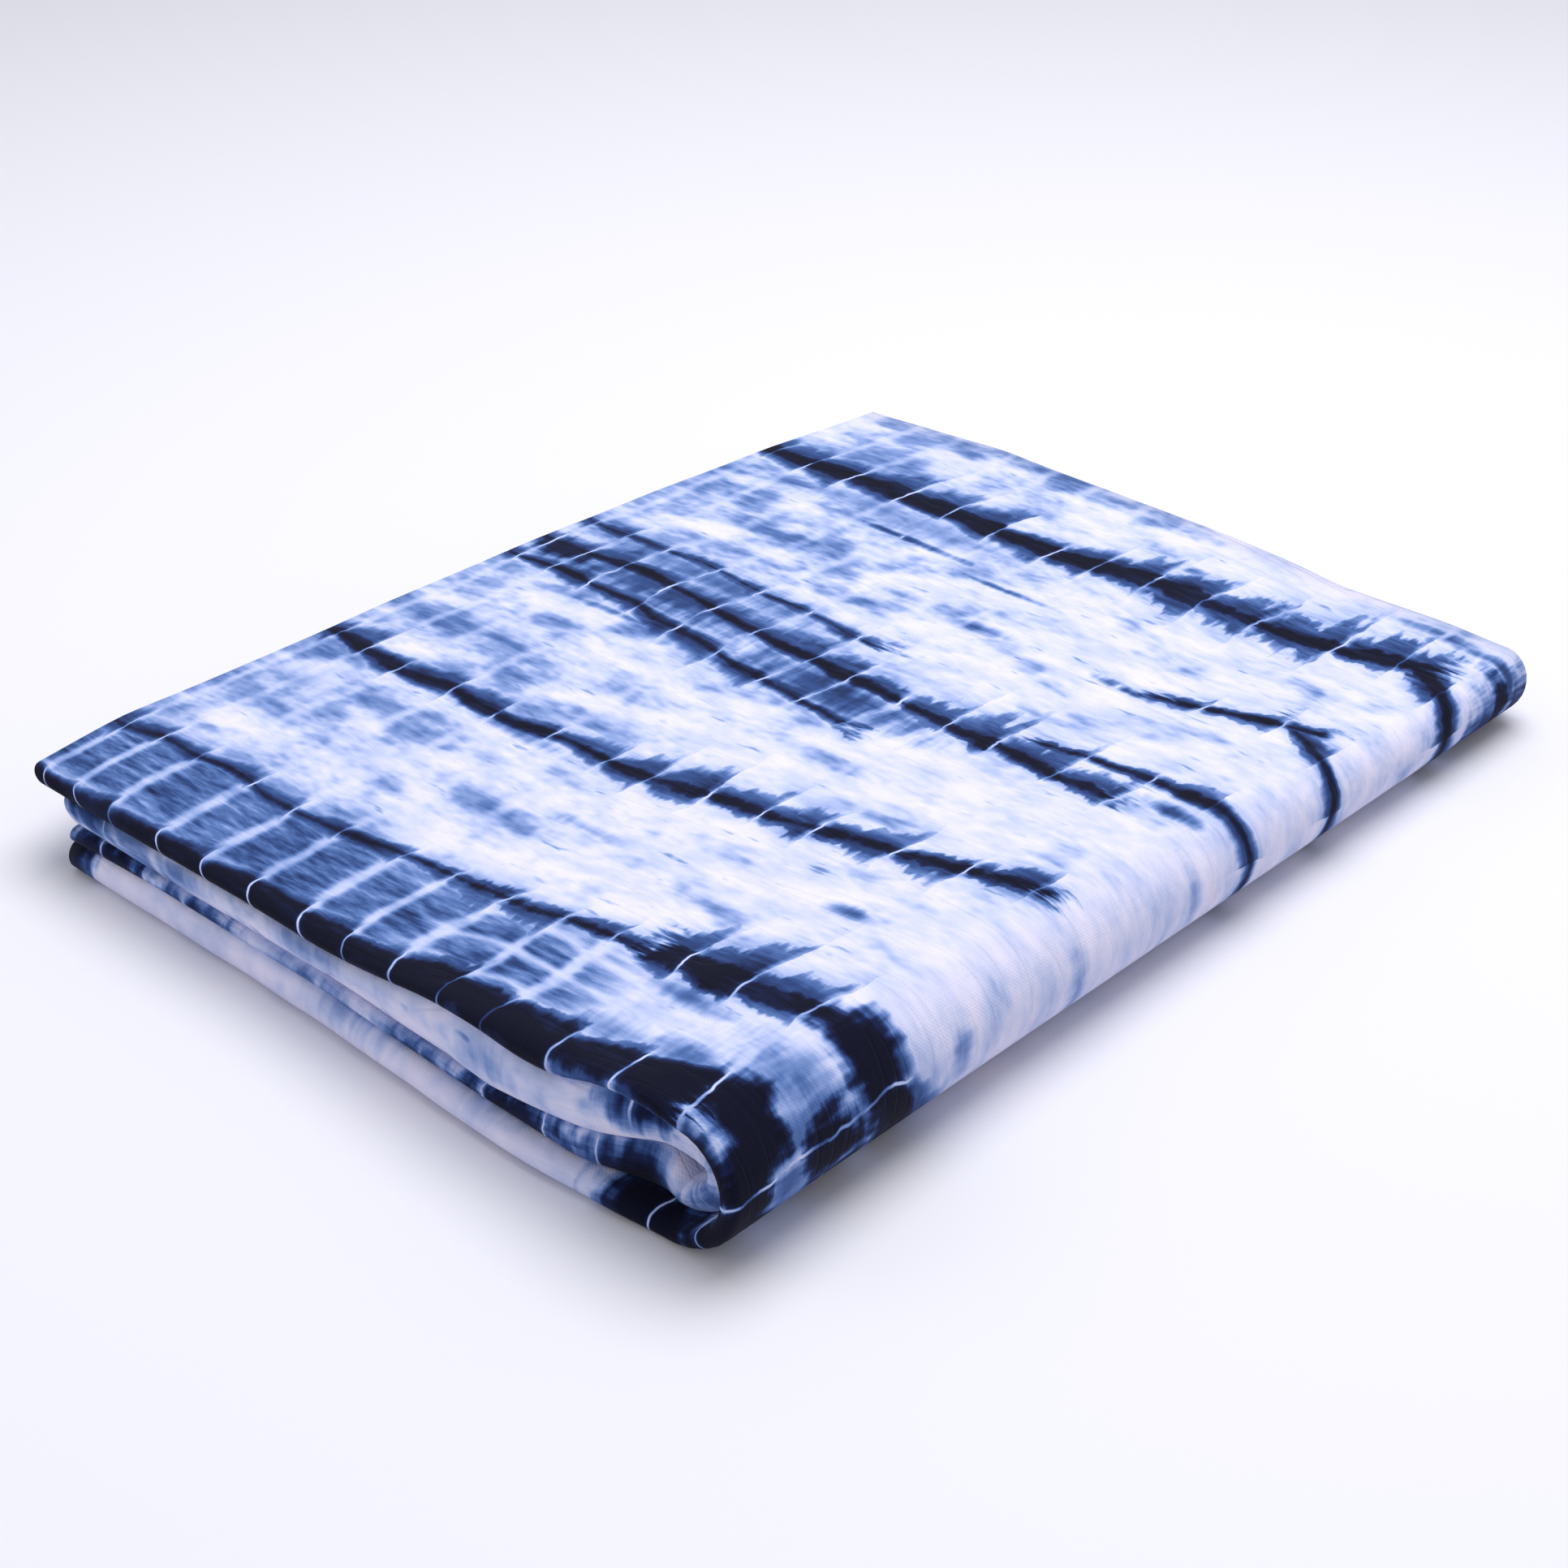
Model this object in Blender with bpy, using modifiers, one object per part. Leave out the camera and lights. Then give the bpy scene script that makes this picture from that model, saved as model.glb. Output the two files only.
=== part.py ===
"""A folded length of indigo dyed cotton cloth.

The cloth is first pleated back and forth into a strip of four layers. Its pleats are joined
in front, between layers 1 and 2 and between layers 3 and 4, and at the back, between layers
2 and 3, and the two cut edges lie at the back. The strip is then folded once in the middle,
so that eight layers lie on each other and the big round fold is on the right.

+X points to the round fold, -Y to the front pleats and +Z up. The origin is on the surface
that the cloth lies on, under the middle of its box.
"""

import math

import bmesh
import bpy
import numpy as np

MM = 0.001

SHEET = 1.2 * MM            # thickness of one layer
LAYER_GAP = 0.35 * MM       # the least air between two layers
LAYERS = 4                  # layers of the pleated strip
LOWEST = 2 * LAYERS - 1     # the lowest of the pile's layers, counted from 0 at the top
FRONT = -140.0 * MM         # where the front pleats stand
PLEAT_DEPTH = 2.4 * MM      # how far a pleat bulges past its flat layers
FLAT_FRONT = FRONT + PLEAT_DEPTH
BACK_PLEAT_DEPTH = 1.2 * MM
SETTLE = 38.0 * MM          # depth in which the layers come to an even spacing
BACK_HEIGHT = 21.4 * MM     # height of the pile at the back left corner
CORNER_HEIGHT = 18.4 * MM   # height at the back right corner, where the fold is pinched
CORNER_START = 30.0 * MM    # where along the back the pile starts to sink to that corner
CORNER_WIDTH = 75.0 * MM    # how far it goes on sinking
SHOULDER = 1.7 * MM         # how far the round fold's shoulder stands forward
LOWEST_BACK = 134.0 * MM    # the straight back edge of the lowest layer
RIM_LIFT = 0.6 * MM         # how far the rim of the lowest layer stands off the surface
TURN_STEPS = 8              # facets of the round fold
PLEAT_STEPS = 4             # facets of a front pleat
BACK_STEPS = 3              # facets of a back pleat

# The pleats seen from the front, in millimetres. "x" is the place along the front. The heights
# are those of the top of pleat 1, the undersides of pleats 1 and 2, and the top and underside
# of pleat 3. "bulge" is how far the front stands forward there.
PLEATS = (
    ("x", "top", "under_1", "under_2", "top_3", "under_3", "bulge"),
    (-108, 22.6, 18.9, 14.6, 10.4, 7.5, 0.0),
    (-90, 23.3, 18.7, 13.4, 12.0, 8.2, 0.0),
    (-65, 23.6, 19.2, 13.0, 12.6, 9.5, 0.2),
    (-35, 23.9, 20.1, 13.0, 12.6, 9.7, 0.1),
    (-8, 24.5, 19.9, 12.9, 12.5, 9.5, 0.9),
    (8, 25.7, 21.5, 11.6, 11.2, 8.2, 1.4),
    (28, 27.7, 24.6, 10.5, 10.1, 6.9, 2.0),
    (42, 28.7, 24.6, 10.4, 10.0, 6.4, 2.3),
    (52, 29.3, 22.9, 11.7, 11.3, 6.2, 2.5),
    (62, 30.1, 23.6, 13.3, 12.9, 6.0, 2.3),
    (72, 31.2, 27.9, 15.0, 14.6, 5.6, 1.3),
    (83, 32.0, 28.8, 16.6, 15.8, 4.4, 0.4),
    (88, 32.0, 27.6, 15.4, 6.8, 3.7, -0.3),
    (92, 31.9, 26.4, 14.2, 6.2, 3.3, -1.2),
)

LEFT = PLEATS[1][0] * MM    # the first and the last place along the front
RIGHT = PLEATS[-1][0] * MM

# The outline from above, in millimetres: where the two stacks of strip ends, the round fold
# and its foot, the end of the flat underside, stand for each place "y" from front to back.
# The lower ends and the foot are straight, so that the underside rests on four corners.
SIDES = (
    ("y", "upper_ends", "lower_ends", "fold", "foot"),
    (-140, -106.2, -96.8, 106.2, 86.4),
    (-112, -110.6, -97.3, 105.2, 87.2),
    (-50, -110.3, -98.4, 104.6, 89.0),
    (22, -110.8, -99.7, 105.8, 91.1),
    (97, -108.3, -101.1, 107.3, 93.3),
    (140, -102.8, -101.8, 107.6, 94.5),
)

# The back edge, in millimetres: its place "y" for each place "x" along it.
BACK_EDGE = (
    ("x", "y"),
    (-104, 140.0),
    (-64, 143.5),
    (-27, 141.0),
    (14, 139.5),
    (47, 135.8),
    (76, 139.0),
    (104, 137.5),
)

# Soft hills and hollows of the top, in millimetres: middle, radius and height of each.
SWELLS = (
    ("x", "y", "radius", "height"),
    (74, 96, 34, -1.6),
    (20, 30, 80, 1.1),
    (-70, -20, 45, 0.7),
)

# How far each layer's end and cut edge lies in from the outline, in millimetres,
# from layer 1 to layer 4.
UPPER_INSETS = (0.0, 1.4, 2.8, 0.9)
LOWER_INSETS = (0.3, 1.1, 3.2, 2.2)
CUT_EDGE_INSETS = (1.0, 0.0, 0.0, 3.2)

# How much of the bulge each pleat takes, from the top pleat down.
BULGE_SHARES = (0.5, 0.2, -0.5, 1.0)

# Where a flat layer has points between front and back, as shares of its depth.
DEPTH_SHARES = (0.0, 0.035, 0.09, 0.17, 0.3, 0.5, 0.72, 0.9, 1.0)


def column(table, wanted, by, at):
    """Read one column of a table at a place, in metres, between its rows."""
    heads, rows = table[0], np.array(table[1:], float) * MM
    return np.interp(at, rows[:, heads.index(by)], rows[:, heads.index(wanted)])


def smooth(t):
    """Ease from 0 to 1."""
    t = min(max(t, 0.0), 1.0)
    return t * t * (3.0 - 2.0 * t)


def pile_height(x, y):
    """Height of the top of the pile."""
    in_front = column(PLEATS, "top", "x", x)
    along = smooth((x - CORNER_START) / CORNER_WIDTH)
    behind = BACK_HEIGHT + (CORNER_HEIGHT - BACK_HEIGHT) * along
    height = in_front + (behind - in_front) * smooth((y - FRONT) / (-2.0 * FRONT))
    for swell_x, swell_y, radius, rise in np.array(SWELLS[1:], float) * MM:
        away = math.hypot(x - swell_x, y - swell_y) / radius
        height += rise * math.exp(-away * away)
    return height


def front_heights(x):
    """Heights of the middles of the eight layers at the front pleats, from the top down."""
    half = SHEET / 2
    upper = column(PLEATS, "under_1", "x", x)
    lower = column(PLEATS, "under_3", "x", x)
    return np.array((
        column(PLEATS, "top", "x", x) - half,
        upper + half,
        upper - LAYER_GAP - half,
        column(PLEATS, "under_2", "x", x) + half,
        column(PLEATS, "top_3", "x", x) - half,
        lower + half,
        lower - LAYER_GAP - half,
        half,
    ))


def layer_heights(x, y):
    """Heights of the middles of the eight layers anywhere in the pile, from the top down."""
    even = SHEET / 2 + (pile_height(x, y) - SHEET) * np.linspace(1.0, 0.0, 2 * LAYERS)
    share = smooth((y - FRONT) / SETTLE)
    return front_heights(x) * (1.0 - share) + even * share


def pleat_walk():
    """Walk along one section of the strip, from the cut edge of layer 1 to that of layer 4.

    Each step names two layers, how far it is round the pleat that joins them, as an angle,
    and its share of the depth, 0 in front and 1 at the back. On a flat layer the two layers
    are the same one.
    """
    for layer in range(LAYERS):
        to_front = layer % 2 == 0
        shares = reversed(DEPTH_SHARES) if to_front else DEPTH_SHARES
        for share in shares:
            yield layer, layer, 0.0, share
        if layer < LAYERS - 1:
            steps = PLEAT_STEPS if to_front else BACK_STEPS
            for step in range(1, steps):
                yield layer, layer + 1, math.pi * step / steps, 0.0 if to_front else 1.0


def strip_point(step, along, upper):
    """One point of the strip, in its upper or its lower half.

    "along" is the share of the way from the strip's end to the round fold.
    """
    first, second, angle, share = step
    # the strip's lower half has the same layers in the other order
    rows = (first, second) if upper else (LOWEST - first, LOWEST - second)
    pleat = (0 if rows[0] < 2 else 1) if upper else (3 if rows[0] > 5 else 2)

    near_x = LEFT + (RIGHT - LEFT) * along
    bulge = column(PLEATS, "bulge", "x", near_x) * BULGE_SHARES[pleat]
    back = column(BACK_EDGE, "y", "x", near_x) - BACK_PLEAT_DEPTH - CUT_EDGE_INSETS[first] * MM
    if rows == (LOWEST, LOWEST):
        back = LOWEST_BACK
    y = FLAT_FRONT + (back - FLAT_FRONT) * share
    depth = PLEAT_DEPTH + bulge if share < 0.5 else -BACK_PLEAT_DEPTH
    y -= depth * math.sin(angle)

    fold_x = turn_middle(y) if upper else column(SIDES, "foot", "y", y)
    ends = column(SIDES, "upper_ends" if upper else "lower_ends", "y", y)
    inset = (UPPER_INSETS if upper else LOWER_INSETS)[first] * MM
    x = ends + inset + (fold_x - ends - inset) * along

    heights = layer_heights(x, max(y, FLAT_FRONT))
    if share in (0.0, 1.0) or along in (0.0, 1.0):
        heights[LOWEST] += RIM_LIFT
    high, low = heights[rows[0]], heights[rows[1]]
    z = (high + low) / 2 + (high - low) / 2 * math.cos(angle)
    return np.array((x, y, z))


def turn_middle(y):
    """Where the round fold's turn begins, for a place from front to back."""
    reach = column(SIDES, "fold", "y", y)
    return reach - pile_height(RIGHT, y) / 2 + SHOULDER


def strip_rows(step, shares_along):
    """All points of the strip for one step of the walk, from its upper end to its lower end."""
    points = [strip_point(step, along, True) for along in shares_along]
    above = points[-1]
    below = strip_point(step, 1.0, False)
    middle, radius = (above + below) / 2, (above[2] - below[2]) / 2
    for turn in range(1, TURN_STEPS):
        angle = math.pi * turn / TURN_STEPS
        share = turn / TURN_STEPS
        points.append(np.array((
            above[0] + (below[0] - above[0]) * share + radius * math.sin(angle),
            above[1] + (below[1] - above[1]) * share,
            middle[2] + radius * math.cos(angle),
        )))
    points += [strip_point(step, along, False) for along in reversed(shares_along)]
    return points


def origin_under_middle(points):
    """The place under the middle of the cloth's box, from its middle surface.

    The surface gains half a sheet at the front, the back and the round fold, but not at the
    strip's ends, which are cut edges.
    """
    low = points.min(axis=(0, 1)) - (0.0, SHEET / 2, SHEET / 2)
    high = points.max(axis=(0, 1)) + SHEET / 2
    return np.array(((low[0] + high[0]) / 2, (low[1] + high[1]) / 2, low[2]))


def folded_strip():
    """The middle surface of the folded cloth, lofted along the strip."""
    places = [row[0] * MM for row in PLEATS[1:]]
    shares_along = [(place - LEFT) / (RIGHT - LEFT) for place in places]
    points = np.array([strip_rows(step, shares_along) for step in pleat_walk()])
    points -= origin_under_middle(points)

    mesh = bmesh.new()
    grid = [[mesh.verts.new(point) for point in row] for row in points]
    for row, next_row in zip(grid, grid[1:]):
        for place in range(len(row) - 1):
            mesh.faces.new((row[place], next_row[place], next_row[place + 1], row[place + 1]))
    bmesh.ops.recalc_face_normals(mesh, faces=mesh.faces)
    data = bpy.data.meshes.new("folded_cloth")
    mesh.to_mesh(data)
    mesh.free()
    return data


def dyed_cotton():
    """The cloth's colour between its white and its indigo."""
    material = bpy.data.materials.new("dyed_cotton")
    material.use_nodes = True
    shader = material.node_tree.nodes["Principled BSDF"]
    shader.inputs["Base Color"].default_value = (0.36, 0.44, 0.66, 1.0)
    shader.inputs["Roughness"].default_value = 0.85
    shader.inputs["Metallic"].default_value = 0.0
    return material


def main():
    for old in list(bpy.data.objects):
        bpy.data.objects.remove(old, do_unlink=True)
    collection = bpy.data.collections.new("shibori_dyed_cloth")
    bpy.context.scene.collection.children.link(collection)

    cloth = bpy.data.objects.new("folded_cloth", folded_strip())
    collection.objects.link(cloth)
    cloth.data.materials.append(dyed_cotton())
    cloth.data.shade_smooth()

    body = cloth.modifiers.new("sheet", "SOLIDIFY")
    body.thickness = SHEET
    body.offset = 0.0
    body.use_even_offset = True


main()
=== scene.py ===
# %% [markdown]
# # A folded length of indigo dyed cotton
#
# The object is one thin cotton cloth with a shibori dye: it was pleated, bound and dipped in
# indigo. The cloth is doubled, pleated back and forth in four layers, and folded once more in
# the middle, so that one big round fold lies on the right.
#
# This lesson makes it in three parts: the folded sheet as a mesh, the dye and the weave as a
# material, and the light. All lengths below are in millimetres until they go into Blender.
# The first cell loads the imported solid, the frame that the cloth has to fill.

import math

import bpy
import numpy as np
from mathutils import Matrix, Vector


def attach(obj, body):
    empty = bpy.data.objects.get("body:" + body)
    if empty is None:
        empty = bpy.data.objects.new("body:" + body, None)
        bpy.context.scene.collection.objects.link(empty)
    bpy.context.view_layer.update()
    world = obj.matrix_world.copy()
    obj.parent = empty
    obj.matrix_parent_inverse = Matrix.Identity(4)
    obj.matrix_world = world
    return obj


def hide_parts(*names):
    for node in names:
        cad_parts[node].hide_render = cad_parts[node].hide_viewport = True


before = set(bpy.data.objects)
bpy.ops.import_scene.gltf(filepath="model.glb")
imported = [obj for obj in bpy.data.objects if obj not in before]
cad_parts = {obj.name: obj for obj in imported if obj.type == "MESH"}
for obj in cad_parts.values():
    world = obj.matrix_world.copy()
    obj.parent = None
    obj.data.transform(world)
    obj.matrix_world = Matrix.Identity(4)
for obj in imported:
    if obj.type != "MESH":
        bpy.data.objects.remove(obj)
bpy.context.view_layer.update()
MM = 0.001

# %% [markdown]
# ## How the pile is folded
#
# The real cloth was folded by hand, and no two of its pleats stand at the same height. A cloth
# simulation could fold it, or it could be sculpted. Tables were chosen, because they hold the
# heights where they can be seen and give the same pile in each run. The first one has the
# heights of the layers along the front, where the pleats show, the second the outline from
# above, the third the back edge, and the last one soft hills and hollows.

# %% Tables of the pile
# faces of the layers along the front, from the top down, and how far the pleats bulge
PLEATS = (
    ("x", "top", "under_1", "under_2", "top_3", "under_3", "bulge"),
    (-108, 22.6, 18.9, 14.6, 10.4, 7.5, 0.0),
    (-90, 23.3, 18.7, 13.4, 12.0, 8.2, 0.0),
    (-65, 23.6, 19.2, 13.0, 12.6, 9.5, 0.2),
    (-35, 23.9, 20.1, 13.0, 12.6, 9.7, 0.1),
    (-8, 24.5, 19.9, 12.9, 12.5, 9.5, 0.9),
    (8, 25.7, 21.5, 11.6, 11.2, 8.2, 1.4),
    (28, 27.7, 24.6, 10.5, 10.1, 6.9, 2.0),
    (42, 28.7, 24.6, 10.4, 10.0, 6.4, 2.3),
    (52, 29.3, 22.9, 11.7, 11.3, 6.2, 2.5),
    (62, 30.1, 23.6, 13.3, 12.9, 6.0, 2.3),
    (72, 31.2, 27.9, 15.0, 14.6, 5.6, 1.3),
    (83, 32.0, 28.8, 16.6, 15.8, 4.4, 0.4),
    (88, 32.0, 27.6, 15.4, 6.8, 3.7, -0.3),
    (92, 31.9, 26.4, 14.2, 6.2, 3.3, -1.2),
)
# from front to back: the strip's two ends, the round fold's reach and where it leaves the floor
SIDES = (
    ("y", "upper_ends", "lower_ends", "fold", "foot"),
    (-140, -106.2, -96.8, 106.2, 86.4),
    (-112, -110.6, -97.3, 105.2, 87.2),
    (-50, -110.3, -98.4, 104.6, 89.0),
    (22, -110.8, -99.7, 105.8, 91.1),
    (97, -108.3, -101.1, 107.3, 93.3),
    (140, -102.8, -101.8, 107.6, 94.5),
)
BACK_EDGE = (
    ("x", "y"),
    (-104, 140.0),
    (-64, 143.5),
    (-27, 141.0),
    (14, 139.5),
    (47, 135.8),
    (76, 139.0),
    (104, 137.5),
)
SWELLS = (
    ("x", "y", "radius", "height"),
    (74, 96, 34, -1.6),
    (20, 30, 80, 1.1),
    (-70, -20, 45, 0.7),
)
FRONT = -140.0
LEFT, RIGHT = -108.0, 92.0
LAYERS = 4
LOWEST = 2 * LAYERS - 1
print("layers in the pile:", 2 * LAYERS)

# %% [markdown]
# ## Reading the tables
#
# Straight lines between the rows would show as kinks on a soft cloth, and a spline can swing
# past a row's value. So `soft_column` reads the table at a few places close by and takes their
# mean, which rounds each kink off. `waver` stands for the unevenness that hands leave in cloth.
# It could be a noise texture, but a sum of a few slow waves needs no random numbers, so it is
# the same in each run.

# %% Helpers for reading
def column(table, wanted, by, at):
    heads = table[0]
    rows = np.array(table[1:], float)
    return np.interp(at, rows[:, heads.index(by)], rows[:, heads.index(wanted)])


def soft_column(table, wanted, by, at, reach=4.0):
    near = [column(table, wanted, by, at + reach * step) for step in (-1.0, -0.5, 0.0, 0.5, 1.0)]
    return sum(near) / len(near)


def smooth(t):
    t = np.clip(t, 0.0, 1.0)
    return t * t * (3.0 - 2.0 * t)


WAVES = 4


def waver(seed, x, y, size):
    """A slow unevenness from -1 to 1, in waves of about size millimetres."""
    total = 0.0
    for wave in range(WAVES):
        heading = 2.4 * wave + 1.7 * seed
        length = size * (0.75 + 0.27 * wave)
        across = x * np.cos(heading) + y * np.sin(heading)
        total = total + np.sin(across * 2.0 * math.pi / length + 5.1 * seed + 1.3 * wave)
    return total / WAVES


print("height of the front at x = 0:", round(float(soft_column(PLEATS, "top", "x", 0.0)), 2))

# %% [markdown]
# ## The heights of the layers
#
# In front each layer has the height that its pleat has. A few centimetres further in, the
# layers have come to an even spacing. The top of the real cloth has a few long, shallow
# creases. A noise would put them everywhere alike, so each one is listed one by one instead, as a
# ridge or a trough with two ends, a width and a height. They die away in the layers below.

# %% Creases and heights
SHEET_SPACE = 1.2
LAYER_GAP = 0.35
SETTLE = 38.0
BACK_HEIGHT, CORNER_HEIGHT = 21.4, 18.4
CORNER_START, CORNER_WIDTH = 30.0, 75.0
LAYER_WAVER, LAYER_WAVER_SIZE = 0.16, 44.0
CREASE_SWAY, CREASE_SWAY_LENGTH = 2.5, 11.0
CREASE_OVERRUN, CREASE_FADE = 4.0, 18.0

CREASES = (
    ("x0", "y0", "x1", "y1", "width", "height"),
    (-100, -112, -30, -108, 6, 0.35),
    (-35, -96, 30, -90, 7, -0.40),
    (20, -112, 75, -100, 6, 0.45),
    (-95, -48, -20, -52, 8, 0.35),
    (0, -40, 60, -44, 7, 0.40),
    (-60, 12, 20, 6, 9, 0.40),
    (30, -2, 85, 4, 6, 0.35),
    (-90, 60, -40, 52, 12, -0.45),
    (0, 98, 70, 102, 8, 0.45),
    (48, -128, 84, -84, 5, 0.50),
    (62, -134, 88, -108, 4, -0.55),
    (74, -140, 96, -118, 4, 0.55),
    (-104, -124, -64, -132, 5, 0.40),
    (-60, -122, -10, -130, 5, -0.35),
    (86, -60, 90, -10, 7, 0.35),
    (-100, 92, 100, 88, 5, -0.35),
    (-95, 108, 60, 110, 6, 0.30),
    (-80, -72, 10, -78, 9, 0.35),
    (10, 30, 96, 24, 8, -0.35),
)
CREASE_SHARES = (1.0, 0.7, 0.4, 0.2, 0.0, 0.0, 0.0, 0.0)


def crease_height(x, y):
    height = 0.0
    for x0, y0, x1, y1, width, rise in CREASES[1:]:
        length = math.hypot(x1 - x0, y1 - y0)
        along = ((x - x0) * (x1 - x0) + (y - y0) * (y1 - y0)) / length
        off = ((x - x0) * (y1 - y0) - (y - y0) * (x1 - x0)) / length
        off = off + CREASE_SWAY * np.sin(along / CREASE_SWAY_LENGTH + x0)
        from_start = smooth((along + CREASE_OVERRUN) / CREASE_FADE)
        to_end = smooth((length + CREASE_OVERRUN - along) / CREASE_FADE)
        height = height + rise * (from_start * to_end) * np.exp(-(off / width) ** 2)
    return height


def pile_height(x, y):
    in_front = soft_column(PLEATS, "top", "x", x)
    along = smooth((x - CORNER_START) / CORNER_WIDTH)
    behind = BACK_HEIGHT + (CORNER_HEIGHT - BACK_HEIGHT) * along
    height = in_front + (behind - in_front) * smooth((y - FRONT) / (-2.0 * FRONT))
    for swell_x, swell_y, radius, rise in SWELLS[1:]:
        away = np.hypot(x - swell_x, y - swell_y) / radius
        height = height + rise * np.exp(-away * away)
    return height


def layer_heights(x, y):
    half = SHEET_SPACE / 2
    top = soft_column(PLEATS, "top", "x", x)
    upper = soft_column(PLEATS, "under_1", "x", x)
    middle_top = soft_column(PLEATS, "under_2", "x", x, 1.5)
    middle_low = soft_column(PLEATS, "top_3", "x", x, 1.5)
    lower = soft_column(PLEATS, "under_3", "x", x)
    in_front = np.array((
        top - half,
        upper + half,
        upper - LAYER_GAP - half,
        middle_top + half,
        middle_low - half,
        lower + half,
        lower - LAYER_GAP - half,
        half + 0.0 * x,
    ))
    pile = pile_height(x, y)
    ranks = np.arange(2 * LAYERS)[:, None, None]
    even = half + (pile - SHEET_SPACE) * (1.0 - ranks / LOWEST)
    share = smooth((y - FRONT) / SETTLE)
    heights = in_front * (1.0 - share) + even * share
    creases = crease_height(x, y)
    for rank in range(LOWEST):
        heights[rank] += CREASE_SHARES[rank] * creases
        heights[rank] += LAYER_WAVER * share * waver(rank * 0.37, x, y, LAYER_WAVER_SIZE)
    return heights


print("creases:", len(CREASES) - 1)

# %% [markdown]
# ## Walking across the strip
#
# On the real cloth one strip runs forward on the first layer, turns over in a front pleat, runs
# back on the second, turns over in a back pleat, and so on. It could be drawn as one outline and
# swept along a path, but each place along the strip has its own heights. So the outline is kept
# as a walk: each step names the two layers that it stands between, its angle round the pleat,
# and its share of the depth.

# %% The walk
LAYER_STEPS = (42, 15, 15, 19)
FRONT_PLEAT_STEPS = 19
BACK_PLEAT_STEPS = 8
FRONT_CROWDING = 0.45


def depth_shares(count):
    """Places from front to back on a layer, closer together near the front."""
    even = np.linspace(0.0, 1.0, count)
    return (1.0 - FRONT_CROWDING) * even + FRONT_CROWDING * even ** 2


def pleat_walk():
    steps = []
    for layer in range(LAYERS):
        to_front = layer % 2 == 0
        shares = depth_shares(LAYER_STEPS[layer])
        for share in shares[::-1] if to_front else shares:
            steps.append((layer, layer, 0.0, share))
        if layer < LAYERS - 1:
            count = FRONT_PLEAT_STEPS if to_front else BACK_PLEAT_STEPS
            for step in range(1, count):
                steps.append((layer, layer + 1, math.pi * step / count, 0.0 if to_front else 1.0))
    return steps


WALK = pleat_walk()
FIRST = np.array([step[0] for step in WALK])[:, None]
SECOND = np.array([step[1] for step in WALK])[:, None]
ANGLE = np.array([step[2] for step in WALK])[:, None]
SHARE = np.array([step[3] for step in WALK])[:, None]
print("steps across the strip:", len(WALK))

# %% [markdown]
# ## The middle surface
#
# Each step of the walk becomes a row of points along the strip, and `half_strip` gives all
# points of the strip's upper or lower half. Extruding one straight outline would be quicker,
# but real pleats don't run dead straight, so each pleat's front and each strip end wavers a
# little. On the second pleat the outer sheet ends above the one under it, as a ledge that
# wanders up and down.

# %% The strip's two halves
PLEAT_DEPTH, BACK_PLEAT_DEPTH = 2.4, 1.2
FLAT_FRONT = FRONT + PLEAT_DEPTH
LOWEST_BACK = 134.0
SHOULDER = 1.7
UPPER_INSETS = np.array((0.0, 1.4, 2.8, 0.9))
LOWER_INSETS = np.array((0.3, 1.1, 3.2, 2.2))
CUT_EDGE_INSETS = np.array((1.0, 0.0, 0.0, 3.2))
BULGE_SHARES = np.array((0.5, 0.2, -0.5, 1.0))
END_TUCK = np.array((0.0, 4.0, 7.0, 17.0))
TURN_RECESS, TURN_START, TURN_WIDTH = 6.0, 64.0, 26.0
TUCK_START, TUCK_WIDTH = -112.0, 22.0
EDGE_WAVER, BACK_WAVER_SIZE, END_WAVER_SIZE = 0.5, 38.0, 52.0
PLEAT_WAVER, PLEAT_WAVER_SIZE = 0.28, 31.0

LEDGE = (
    ("x", "z"),
    (-40, 15.2),
    (-20, 15.3),
    (-8, 16.0),
    (0, 16.7),
    (8, 18.3),
    (18, 17.3),
    (28, 15.2),
    (35, 13.3),
    (42, 11.6),
)
LEDGE_DEPTH, LEDGE_SOFTNESS = 1.0, 0.9


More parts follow.
